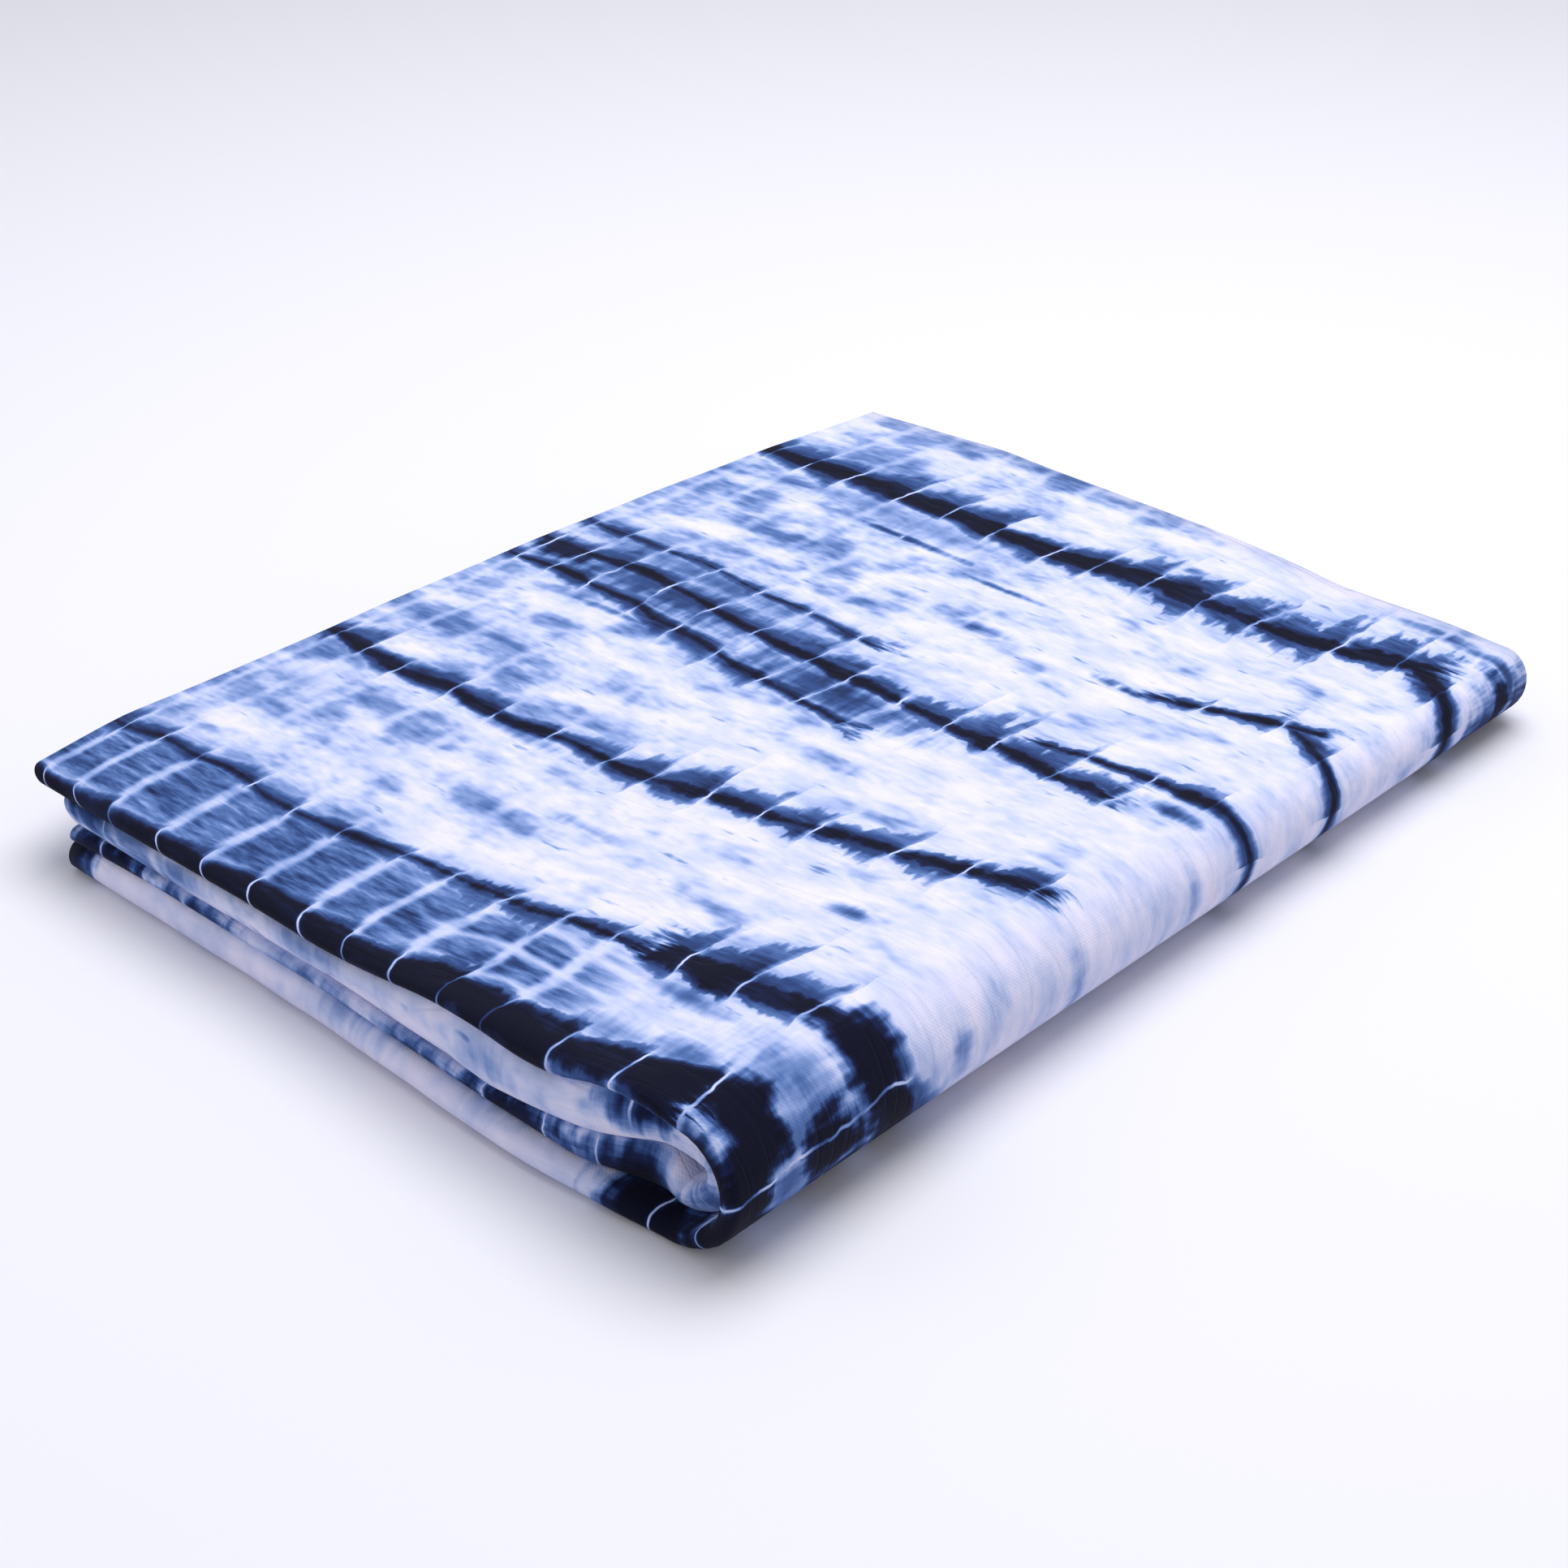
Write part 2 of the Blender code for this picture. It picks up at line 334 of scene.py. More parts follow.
def half_strip(upper, along):
    """Points of one half: a row for each step of the walk, a column for each share along."""
    along = np.asarray(along)[None, :]
    ranks = (FIRST, SECOND) if upper else (LOWEST - FIRST, LOWEST - SECOND)
    if upper:
        pleat = np.where(ranks[0] < 2, 0, 1)
    else:
        pleat = np.where(ranks[0] > 5, 3, 2)
    near_x = LEFT + (RIGHT - LEFT) * along
    bulge = soft_column(PLEATS, "bulge", "x", near_x) * BULGE_SHARES[pleat]
    back = soft_column(BACK_EDGE, "y", "x", near_x) - BACK_PLEAT_DEPTH - CUT_EDGE_INSETS[FIRST]
    back = back + EDGE_WAVER * waver(3.0 + 0.6 * ranks[0], near_x, 0.0, BACK_WAVER_SIZE)
    lowest = (ranks[0] == LOWEST) & (ranks[1] == LOWEST)
    back = np.where(lowest, LOWEST_BACK, back)
    rank = FIRST + (1.0 - np.cos(ANGLE)) / 2
    recess = TURN_RECESS * smooth((near_x - TURN_START) / TURN_WIDTH) * smooth(rank - 1.0)
    front = FLAT_FRONT + recess
    y = front + (back - front) * SHARE
    in_front = SHARE < 0.5
    depth = np.where(in_front, PLEAT_DEPTH + bulge, -BACK_PLEAT_DEPTH)
    pleat_waver = PLEAT_WAVER * waver(1.0 + pleat, near_x, 0.0, PLEAT_WAVER_SIZE)
    depth = depth + np.where(in_front, pleat_waver, 0.0)
    y = y - depth * np.sin(ANGLE)

    if upper:
        fold_x = column(SIDES, "fold", "y", y) - pile_height(RIGHT, y) / 2 + SHOULDER
    else:
        fold_x = column(SIDES, "foot", "y", y)
    ends = soft_column(SIDES, "upper_ends" if upper else "lower_ends", "y", y)
    insets = np.interp(rank, np.arange(LAYERS), UPPER_INSETS if upper else LOWER_INSETS)
    if upper:
        tuck = np.interp(rank, np.arange(LAYERS), END_TUCK)
        insets = insets + tuck * smooth((TUCK_START - y) / TUCK_WIDTH)
    ends = ends + insets + EDGE_WAVER * waver(8.0 + 0.8 * ranks[0], 0.0, y, END_WAVER_SIZE)
    x = ends + (fold_x - ends) * along

    heights = layer_heights(x, np.maximum(y, FLAT_FRONT))
    across, down = np.indices(x.shape)
    high = heights[np.broadcast_to(ranks[0], x.shape), across, down]
    low = heights[np.broadcast_to(ranks[1], x.shape), across, down]
    z = (high + low) / 2 + (high - low) / 2 * np.cos(ANGLE)

    if upper:
        on_second = (FIRST == 2) & (SECOND == 3)
        under_ledge = smooth((column(LEDGE, "z", "x", x) - z) / LEDGE_SOFTNESS)
        spread = smooth((x + 40.0) / 14.0) * smooth((43.0 - x) / 6.0)
        y = y + np.where(on_second, LEDGE_DEPTH * under_ledge * spread, 0.0)
    return np.stack((x, y, z), axis=-1)


print("pleats in one half:", LAYERS - 1)

# %% [markdown]
# ## The big round fold
#
# The whole pleated strip was folded once more, so its upper half runs over the edge and comes
# back below as the lower half. A bend modifier could do that with one radius. Here each row of
# points has its own height, so each one gets its own half circle between the two halves.

# %% The round fold
UPPER_ALONG = np.linspace(0.0, 1.0, 84)
LOWER_ALONG = np.linspace(1.0, 0.0, 52)
TURN_STEPS = 15
PILE_CENTRE = np.array((-2.26, 0.38, 0.0))

above = half_strip(True, UPPER_ALONG)
below = half_strip(False, LOWER_ALONG)
turn = []
for step in range(1, TURN_STEPS):
    angle = math.pi * step / TURN_STEPS
    start, end = above[:, -1], below[:, 0]
    radius = (start[:, 2] - end[:, 2]) / 2
    point = start + (end - start) * step / TURN_STEPS
    point[:, 0] += radius * math.sin(angle)
    point[:, 2] = (start[:, 2] + end[:, 2]) / 2 + radius * math.cos(angle)
    turn.append(point)
middle = np.concatenate((above, np.stack(turn, axis=1), below), axis=1)
middle -= PILE_CENTRE
print("middle surface:", middle.shape[:2], "points")

# %% [markdown]
# ## Two plies from one surface
#
# The cloth is doubled: two plies lie on each other along the whole strip and are joined by a
# soft fold at the strip's upper end. Both are made from the middle surface, by moving it out
# and in along its normals. Two separate sheets would be simpler to make, but these follow each
# other round every fold and don't cross. On a grid the normals come from `numpy.gradient`.

# %% The doubled sheet
PLY_SPACE = 1.0
PLY_WAVER, PLY_WAVER_SIZE = 0.14, 60.0
STEP_ALONG, STEP_ACROSS = 2.4, 2.0
END_STEPS = 5
END_FULLNESS = 0.9
TOP_ROW, TOP_COLUMN = 5, 20

tangent_along = np.gradient(middle, axis=1)
tangent_across = np.gradient(middle, axis=0)
normals = np.cross(tangent_along, tangent_across)
normals /= np.linalg.norm(normals, axis=-1, keepdims=True)
# outward is up on the top layer
if normals[TOP_ROW, TOP_COLUMN, 2] < 0.0:
    normals = -normals
heading = tangent_along / np.linalg.norm(tangent_along, axis=-1, keepdims=True)

rows, columns = middle.shape[:2]
row_number, column_number = np.indices((rows, columns))
looseness = waver(2.2, column_number * STEP_ALONG, row_number * STEP_ACROSS, PLY_WAVER_SIZE)
space = PLY_SPACE + PLY_WAVER * looseness
outer = middle + normals * space[..., None] / 2
inner = middle - normals * space[..., None] / 2

end_fold = []
for step in range(1, END_STEPS):
    angle = math.pi * step / END_STEPS
    reach = END_FULLNESS * space[:, 0, None] / 2 * math.sin(angle)
    lift = space[:, 0, None] / 2 * math.cos(angle)
    end_fold.append(middle[:, 0] - heading[:, 0] * reach - normals[:, 0] * lift)
sheet_points = np.concatenate((inner[:, ::-1], np.stack(end_fold, axis=1), outer), axis=1)
print("points in the sheet:", sheet_points.shape[:2])

# %% [markdown]
# ## How large the flat cloth is
#
# A folded sheet is as long as the path through its folds. Its size could be guessed from the
# pile's box, but the dye and the weave need each point's true place on the flat cloth. So the
# steps of the grid are added up, once along the strip and once across it.

# %% The flat size
def path_length(points):
    steps = np.linalg.norm(np.diff(points, axis=0), axis=-1)
    return np.concatenate(([0.0], np.cumsum(steps)))


along_strip = path_length(middle[LAYER_STEPS[0] // 2])
across_strip = path_length(middle[:, len(UPPER_ALONG) // 2])
end_turn = np.zeros(END_STEPS - 1)
flat_along = np.concatenate((-along_strip[::-1], end_turn, along_strip))
FLAT_LENGTH = 2.0 * along_strip[-1]

# %% [markdown]
# ## The mesh and its flat places
#
# The grid becomes a mesh of four-sided faces. Its UV map holds each point's place on the flat
# cloth, as a share of `UV_SPAN` millimetres. Blender could unwrap the mesh by itself, but this
# map is true to the cloth: the dye and the weave are drawn with it, so they run round every
# fold as they really do. A Solidify modifier gives the cloth its own thin thickness.

# %% The folded sheet
UV_SPAN = 1200.0
CLOTH_THICKNESS = 0.35


def grid_faces(row_count, column_count):
    numbers = np.arange(row_count * column_count).reshape(row_count, column_count)
    corners = (numbers[:-1, :-1], numbers[:-1, 1:], numbers[1:, 1:], numbers[1:, :-1])
    return np.stack(corners, axis=-1).reshape(-1, 4)


faces = grid_faces(*sheet_points.shape[:2])
data = bpy.data.meshes.new("folded_dyed_cloth")
data.from_pydata((sheet_points.reshape(-1, 3) * MM).tolist(), [], faces.tolist())
flat_x = np.broadcast_to(flat_along[None, :], sheet_points.shape[:2]).ravel()
flat_y = np.broadcast_to(across_strip[:, None], sheet_points.shape[:2]).ravel()
uv = np.stack(((flat_x + FLAT_LENGTH / 2) / UV_SPAN, flat_y / UV_SPAN), axis=-1)
uv_layer = data.uv_layers.new(name="flat_cloth")
uv_layer.data.foreach_set("uv", uv[faces.ravel()].ravel())
data.shade_smooth()
cloth = bpy.data.objects.new("folded_dyed_cloth", data)
bpy.context.scene.collection.objects.link(cloth)

body = cloth.modifiers.new("thickness", "SOLIDIFY")
body.thickness = CLOTH_THICKNESS * MM
body.offset = 0.0
body.use_even_offset = False
print("faces before thickness:", len(data.polygons))

# %% [markdown]
# ## Small tools for the shader
#
# Each effect of the dye is a node group with named inputs and outputs. The groups could be drawn
# by hand in the shader editor, but code can place one group many times. `NodeBench` keeps that
# code short: it adds one node and returns its output, and takes numbers and outputs alike.

# %% The node bench
NODES_IN_A_ROW = 12
NODE_PITCH_X, NODE_PITCH_Y = 180, -170


class NodeBench:
    """Adds nodes to one tree, from left to right."""

    def __init__(self, tree):
        self.tree = tree
        self.count = 0

    def add(self, kind):
        node = self.tree.nodes.new(kind)
        down, right = divmod(self.count, NODES_IN_A_ROW)
        node.location = (NODE_PITCH_X * right, NODE_PITCH_Y * down)
        self.count += 1
        return node

    def feed(self, socket, value):
        if isinstance(value, bpy.types.NodeSocket):
            self.tree.links.new(value, socket)
        else:
            socket.default_value = value

    def calc(self, operation, *values, clamp=False):
        node = self.add("ShaderNodeMath")
        node.operation = operation
        node.use_clamp = clamp
        for socket, value in zip(node.inputs, values):
            self.feed(socket, value)
        return node.outputs[0]

    def ease(self, value, low, high, to_low=0.0, to_high=1.0):
        node = self.add("ShaderNodeMapRange")
        node.interpolation_type = "SMOOTHSTEP"
        for name, given in zip(("Value", "From Min", "From Max", "To Min", "To Max"),
                               (value, low, high, to_low, to_high)):
            self.feed(node.inputs[name], given)
        return node.outputs["Result"]

    def place(self, x, y, z=0.0):
        node = self.add("ShaderNodeCombineXYZ")
        for socket, value in zip(node.inputs, (x, y, z)):
            self.feed(socket, value)
        return node.outputs[0]

    def distance(self, spot, scale, offset):
        """Distance from a middle, measured in half widths."""
        scaled = self.add("ShaderNodeVectorMath")
        scaled.operation = "MULTIPLY_ADD"
        for socket, value in zip(scaled.inputs, (spot, scale, offset)):
            self.feed(socket, value)
        length = self.add("ShaderNodeVectorMath")
        length.operation = "LENGTH"
        self.feed(length.inputs[0], scaled.outputs["Vector"])
        return length.outputs["Value"]

    def noise(self, x, y, x_size, y_size, detail=2.0, roughness=0.5, seed=0.0):
        """Noise from 0 to 1 whose patches are x_size by y_size millimetres."""
        scaled_x = self.calc("MULTIPLY", x, 1.0 / x_size)
        scaled_y = self.calc("MULTIPLY", y, 1.0 / y_size)
        spot = self.place(scaled_x, scaled_y, seed)
        node = self.add("ShaderNodeTexNoise")
        self.feed(node.inputs["Vector"], spot)
        node.inputs["Scale"].default_value = 1.0
        node.inputs["Detail"].default_value = detail
        node.inputs["Roughness"].default_value = roughness
        return node.outputs["Fac"]

    def chance(self, first, second):
        spot = self.place(first, second)
        node = self.add("ShaderNodeTexWhiteNoise")
        node.noise_dimensions = "2D"
        self.feed(node.inputs["Vector"], spot)
        return node.outputs["Value"]


print("nodes in a row:", NODES_IN_A_ROW)

# %% [markdown]
# ## Making and placing a group
#
# A group stands for one habit of the dye, such as a band. Its nodes could be copied for every
# place where it is needed, but then each change would have to be made in all the copies. So
# `new_group` makes it once, and `use_group` places it and feeds its inputs by name.

# %% Group helpers
def new_group(name, inputs, outputs):
    tree = bpy.data.node_groups.new(name, "ShaderNodeTree")
    for socket_name in inputs:
        tree.interface.new_socket(socket_name, in_out="INPUT", socket_type="NodeSocketFloat")
    for socket_name in outputs:
        tree.interface.new_socket(socket_name, in_out="OUTPUT", socket_type="NodeSocketFloat")
    bench = NodeBench(tree)
    given = bench.add("NodeGroupInput").outputs
    made = bench.add("NodeGroupOutput").inputs
    return bench, given, made


def use_group(bench, name, **values):
    node = bench.add("ShaderNodeGroup")
    node.node_tree = bpy.data.node_groups[name]
    for socket_name, value in values.items():
        bench.feed(node.inputs[socket_name.replace("_", " ")], value)
    return node.outputs


print("groups so far:", len(bpy.data.node_groups))

# %% [markdown]
# ## The thread marks
#
# The pleated cloth was bound before it was dyed. Each turn of the binding kept a line white
# right across the cloth. The lines are about 16 mm apart, they lean and bend a little, and
# they divide each dyed band into segments. They could be drawn in each band by itself, but one
# group for all lets a line run on from band to band, as the real ones do. It gives, for each
# place, how far along its segment it lies, which segment it is in, and how far the nearest line
# is. It also gives the distance to the nearest rung, one of a second set along the bands.

# %% Group: thread marks
MARK_SPACING, RUNG_SPACING = 15.6, 10.0
UNEVEN_BY, BEND_BY, JITTER_BY, SWAY_BY = 15.0, 10.0, 2.4, 15.0

bench, given, made = new_group(
    "thread marks", ("Along", "Across"), ("Share", "Segment", "Distance", "Rung distance"))
x, y = given["Along"], given["Across"]
uneven = bench.calc("SUBTRACT", bench.noise(x, y, 31.0, 900.0, 0.0, seed=19.0), 0.5)
bend = bench.calc("SUBTRACT", bench.noise(x, y, 80.0, 38.0, 1.5), 0.5)
jitter = bench.calc("SUBTRACT", bench.noise(x, y, 11.5, 6.6, 2.0, seed=4.0), 0.5)
moved = bench.calc("MULTIPLY_ADD", bend, BEND_BY, x)
moved = bench.calc("MULTIPLY_ADD", uneven, UNEVEN_BY, moved)
moved = bench.calc("MULTIPLY_ADD", jitter, JITTER_BY, moved)
steps = bench.calc("MULTIPLY", moved, 1.0 / MARK_SPACING)
segment = bench.calc("FLOOR", steps)
share = bench.calc("SUBTRACT", steps, segment)
nearest = bench.calc("MINIMUM", share, bench.calc("SUBTRACT", 1.0, share))
sway = bench.calc("SUBTRACT", bench.noise(x, y, 26.0, 42.0, 2.0, seed=7.0), 0.5)
sway = bench.calc("MULTIPLY", sway, SWAY_BY)
rungs = bench.calc("MULTIPLY", bench.calc("ADD", y, sway), 1.0 / RUNG_SPACING)
rung_share = bench.calc("FRACT", rungs)
nearest_rung = bench.calc("MINIMUM", rung_share, bench.calc("SUBTRACT", 1.0, rung_share))
bench.feed(made["Share"], share)
bench.feed(made["Segment"], segment)
bench.feed(made["Distance"], bench.calc("MULTIPLY", nearest, MARK_SPACING))
bench.feed(made["Rung distance"], bench.calc("MULTIPLY", nearest_rung, RUNG_SPACING))
print("nodes in the thread marks:", len(bench.tree.nodes))

# %% [markdown]
# ## One dyed band
#
# Where the edge of a pleat was open to the indigo, the dye made a band. It has a near-black
# core, which flares in each segment and steps back at each thread mark, and a mid-blue fringe,
# mostly wider above than below, that ends in small fingers. A band could be painted by hand,
# but then each one would be a new picture. Here one group draws it from the distance to a
# curve, and it is placed once for each band with its own ends, bow and widths.

# %% Group: dyed band
CORE_INSIDE, CORE_OUTSIDE = 1.4, 2.8
END_RAGGED, END_FADE = 26.0, 9.0

bench, given, made = new_group(
    "dyed band",
    ("Along", "Across", "Share", "Segment", "Fingers", "Streaks", "Wander", "Crisp", "Swell",
     "From", "To", "Start", "Middle", "End", "Core", "Above", "Below", "Seed"),
    ("Dye",),
)
x, y, share, segment = (given[name] for name in ("Along", "Across", "Share", "Segment"))
fingers = bench.calc("SUBTRACT", given["Fingers"], 0.5)
streaks = bench.calc("SUBTRACT", given["Streaks"], 0.5)

# a curve through the start, the middle and the end
length = bench.calc("SUBTRACT", given["To"], given["From"])
from_start = bench.calc("SUBTRACT", x, given["From"])
way = bench.calc("DIVIDE", from_start, length, clamp=True)
slope = bench.calc("SUBTRACT", bench.calc("MULTIPLY", given["Middle"], 4.0), given["End"])
slope = bench.calc("MULTIPLY_ADD", given["Start"], -3.0, slope)
curve = bench.calc("SUBTRACT", bench.calc("SUBTRACT", given["End"], given["Start"]), slope)
centre = bench.calc("MULTIPLY_ADD", way, curve, slope)
centre = bench.calc("MULTIPLY_ADD", way, centre, given["Start"])
off = bench.calc("ADD", bench.calc("SUBTRACT", y, centre), given["Wander"])
away = bench.calc("ABSOLUTE", off)

# the near-black core, with soft sides
chance_core = bench.chance(segment, given["Seed"])
core = bench.calc("MULTIPLY", given["Core"], given["Swell"])
core = bench.calc("MULTIPLY", core, bench.calc("MULTIPLY_ADD", chance_core, 0.5, 0.7))
core = bench.calc("MULTIPLY", core, bench.calc("MULTIPLY_ADD", share, 0.4, 0.8))
tooth = bench.calc("MULTIPLY", fingers, bench.calc("MULTIPLY_ADD", given["Crisp"], 3.4, 1.6))
tooth = bench.calc("MULTIPLY_ADD", streaks, 2.2, tooth)
rough_away = bench.calc("ADD", away, tooth)
full_until = bench.calc("SUBTRACT", core, CORE_INSIDE)
none_after = bench.calc("ADD", core, CORE_OUTSIDE)
in_core = bench.ease(rough_away, full_until, none_after, 1.0, 0.0)
in_core = bench.calc("MULTIPLY", in_core, bench.calc("MULTIPLY_ADD", streaks, 0.5, 0.94))

# the blue fringe, which ends in fingers
is_above = bench.calc("GREATER_THAN", off, 0.0)
side_seed = bench.calc("MULTIPLY_ADD", is_above, 5.9, bench.calc("ADD", given["Seed"], 17.3))
chance_fringe = bench.chance(segment, side_seed)
wide = bench.calc("SUBTRACT", given["Above"], given["Below"])
reach = bench.calc("MULTIPLY_ADD", wide, is_above, given["Below"])
reach = bench.calc("MULTIPLY", reach, bench.calc("MULTIPLY_ADD", chance_fringe, 1.1, 0.35))
reach = bench.calc("MULTIPLY", reach, bench.calc("MULTIPLY_ADD", share, 0.8, 0.5))
past = bench.calc("DIVIDE", bench.calc("SUBTRACT", away, core), reach)
fray = bench.calc("MULTIPLY", fingers, bench.calc("MULTIPLY_ADD", given["Crisp"], 1.7, 0.8))
fray = bench.calc("MULTIPLY_ADD", streaks, 0.7, fray)
sharp_from = bench.calc("MULTIPLY_ADD", given["Crisp"], 0.35, 0.2)
in_fringe = bench.ease(bench.calc("ADD", past, fray), sharp_from, 1.05, 1.0, 0.0)
tone = bench.calc("MULTIPLY_ADD", streaks, 0.5, 0.66)
tone = bench.calc("MULTIPLY_ADD", past, -0.3, tone, clamp=True)
dye = bench.calc("MAXIMUM", in_core, bench.calc("MULTIPLY", in_fringe, tone))

# the pale wash that ran out furthest
wash = bench.ease(past, 0.2, 2.2, 0.24, 0.0)
wash = bench.calc("MULTIPLY", wash, bench.calc("MULTIPLY_ADD", streaks, 2.6, 0.6, clamp=True))
dye = bench.calc("MAXIMUM", dye, wash)

# both ends fade in streaks
to_end = bench.calc("SUBTRACT", given["To"], x)
inside = bench.calc("MINIMUM", from_start, to_end)
inside = bench.calc("MULTIPLY_ADD", streaks, END_RAGGED, inside)
bench.feed(made["Dye"], bench.calc("MULTIPLY", dye, bench.ease(inside, 0.0, END_FADE)))
print("nodes in a band:", len(bench.tree.nodes))

# %% [markdown]
# ## One spot of dye
#
# Single spots and blots came from gaps in the binding. Each could be a short band, but a band
# takes dozens of nodes and a spot only a few. The group gets the distance from the spot's
# middle, counted in half widths, the fingers that break up its edge, and its strength.

# %% Group: dyed spot
SPOT_EDGE, SPOT_SOFTNESS = 1.25, 0.6

bench, given, made = new_group("dyed spot", ("Away", "Fray", "Strength"), ("Dye",))
rough = bench.calc("ADD", given["Away"], given["Fray"])
full_until = bench.calc("SUBTRACT", given["Strength"], SPOT_SOFTNESS)
bench.feed(made["Dye"], bench.ease(rough, full_until, SPOT_EDGE, given["Strength"], 0.0))
print("nodes in a spot:", len(bench.tree.nodes))

# %% [markdown]
# ## The weave
#
# A plain weave is a chessboard of small bumps, one where each thread crosses over another. A
# repeating picture of it could be laid over the cloth, but the repeats would show. Two sine
# waves give the chessboard at its true size, and a stretched noise each way makes the threads a
# little uneven, which shows as fine streaks.

# %% Group: plain weave
THREAD = 0.45
SLUB_LENGTH, SLUB_WIDTH, SLUB_HEIGHT = 14.5, 0.5, 1.2

bench, given, made = new_group("plain weave", ("Along", "Across"), ("Height",))
x, y = given["Along"], given["Across"]
wave_x = bench.calc("SINE", bench.calc("MULTIPLY", x, math.pi / THREAD))
wave_y = bench.calc("SINE", bench.calc("MULTIPLY", y, math.pi / THREAD))
knots = bench.calc("MULTIPLY", wave_x, wave_y)
slubs_x = bench.noise(x, y, SLUB_LENGTH, SLUB_WIDTH, 0.0, seed=11.0)
slubs_y = bench.noise(x, y, SLUB_WIDTH, SLUB_LENGTH, 0.0, seed=12.0)
slubs = bench.calc("SUBTRACT", bench.calc("ADD", slubs_x, slubs_y), 1.0)
bench.feed(made["Height"], bench.calc("MULTIPLY_ADD", slubs, SLUB_HEIGHT, knots))
print("threads in a centimetre:", round(10.0 / THREAD))

# %% [markdown]
# ## Where the bands and spots lie
#
# Places are on the flat cloth: "x" runs with the bands and is 0 in the middle of the top, and
# "y" runs across them. The top face is the part from -110 to 92 along and from -140 to 140
# across. Further along come the round fold and the lower half of the pile, and further across
# come the pleats and the hidden layers. The dye could be left to chance, but then it would be
# another cloth's, so the bands and spots are listed one by one. Spots with a "y" of about -146 are
# on the top and bottom front pleats, and those at about -706 on the two pleats between them.

# %% Tables of the dye
BANDS = (
    ("from", "to", "start", "middle", "end", "core", "above", "below"),
    (-135, 94, 103, 100, 118, 3.4, 10.0, 7.0),
    (76, 146, 119, 104, 110, 3.0, 5.0, 5.0),
    (48, 94, 54, 62, 72, 1.3, 6.0, 3.0),
    (74, 142, 72, 56, 62, 1.4, 4.0, 4.0),
    (-135, 84, 22, 13, 6, 1.9, 12.0, 4.0),
    (-135, 24, 12, 2, -7, 1.0, 4.0, 5.0),
    (46, 138, 14, 22, 20, 1.2, 5.0, 3.0),
    (-135, 2, 35, 32, 28, 0.2, 5.0, 5.0),
    (-135, 101, -50, -54, -33, 1.8, 7.0, 4.0),
    (-135, 60, -113, -111, -103, 0.8, 6.0, 5.0),
    (46, 142, -103, -99, -84, 4.2, 9.0, 5.0),
    (-135, 100, -141, -139, -134, 4.8, 4.0, 5.0),
    (52, 104, -135, -132, -126, 2.6, 4.0, 4.0),
)
SPOTS = (
    ("x", "y", "half_x", "half_y", "strength"),
    (72, -68, 7, 3, 0.55),
    (5, -77, 13, 2.5, 0.32),
    (-22, 53, 9, 2.5, 0.36),
    (4, 52, 11, 3.5, 0.5),
    (48, 53, 10, 2.5, 0.66),
    (90, 12, 9, 3.5, 0.62),
    (18, 116, 6, 3, 0.5),
    (78, 134, 12, 3, 0.55),
    (-52, 88, 60, 10, 0.36),
    (-43, 79, 26, 2, 0.62),
    (-8, 73, 20, 1.6, 0.55),
    (-64, -3, 26, 2, 0.5),
    (-60, 27, 62, 9, 0.5),
    (-62, 14, 62, 12, 0.64),
    (0, 3, 42, 11, 0.62),
    (-100, 17, 16, 8, 0.85),
    (-92, -76, 22, 20, 0.24),
    (-40, -58, 24, 3, 0.5),
    (66, -128, 16, 6, 0.4),
    (84, -126, 14, 6, 0.5),
    (70, -111, 14, 4, 0.42),
    (110, -122, 30, 24, 0.5),
    (101, -128, 13, 9, 1.0),
    (113, -112, 8, 10, 1.0),
    (104, -98, 14, 8, 1.0),
    (126, -106, 10, 9, 0.95),
    (122, -136, 15, 11, 1.0),
    (112, -134, 12, 9, 1.0),
    (106, -144, 20, 7, 1.0),
    (138, -142, 14, 12, 1.0),
    (116, -38, 14, 4, 0.32),
    (112, 2, 12, 3, 0.26),
    (112, -74, 8, 4, 0.4),
    (136, 138, 34, 14, 0.9),
    (122, 122, 22, 10, 0.72),
    (118, 128, 26, 5, 0.9),
    (104, 132, 22, 3, 0.62),
    (122, 114, 18, 3, 0.6),
    (102, -706, 12, 7, 0.42),
    (122, -708, 14, 7, 0.55),
    (-100, -704, 16, 9, 0.62),
    (-66, -707, 16, 4, 0.4),
    (-20, -706, 20, 4, 0.3),
    (40, -708, 14, 4, 0.3),
    (80, -706, 10, 5, 0.8),
    (310, -706, 24, 12, 0.9),
    (278, -706, 22, 9, 0.72),
    (236, -706, 20, 9, 0.5),
    (205, -706, 14, 9, 0.66),
    (176, -706, 22, 12, 0.9),
    (148, -706, 14, 9, 0.85),
    (322, -146, 9, 14, 0.95),
    (262, -147, 24, 6, 0.34),
    (222, -146, 20, 7, 0.42),
    (185, -147, 14, 7, 0.36),
    (143, -146, 10, 12, 0.8),
)
print("bands:", len(BANDS) - 1, "spots:", len(SPOTS) - 1)

# %% [markdown]
# ## The dyed cotton
#
# Indigo colours the threads themselves, so the material is one matt surface with one colour for
# each place. It could be an image laid on the UV map. Here it is worked out instead: how much
# indigo a place took, less what the binding kept off it, turned into a colour. First come the
# place on the flat cloth and the noises that all the bands share.

# %% Material: places and shared noises
UPPER_END, BACK_END = 110.0, 140.0
WANDER_BY = 9.0

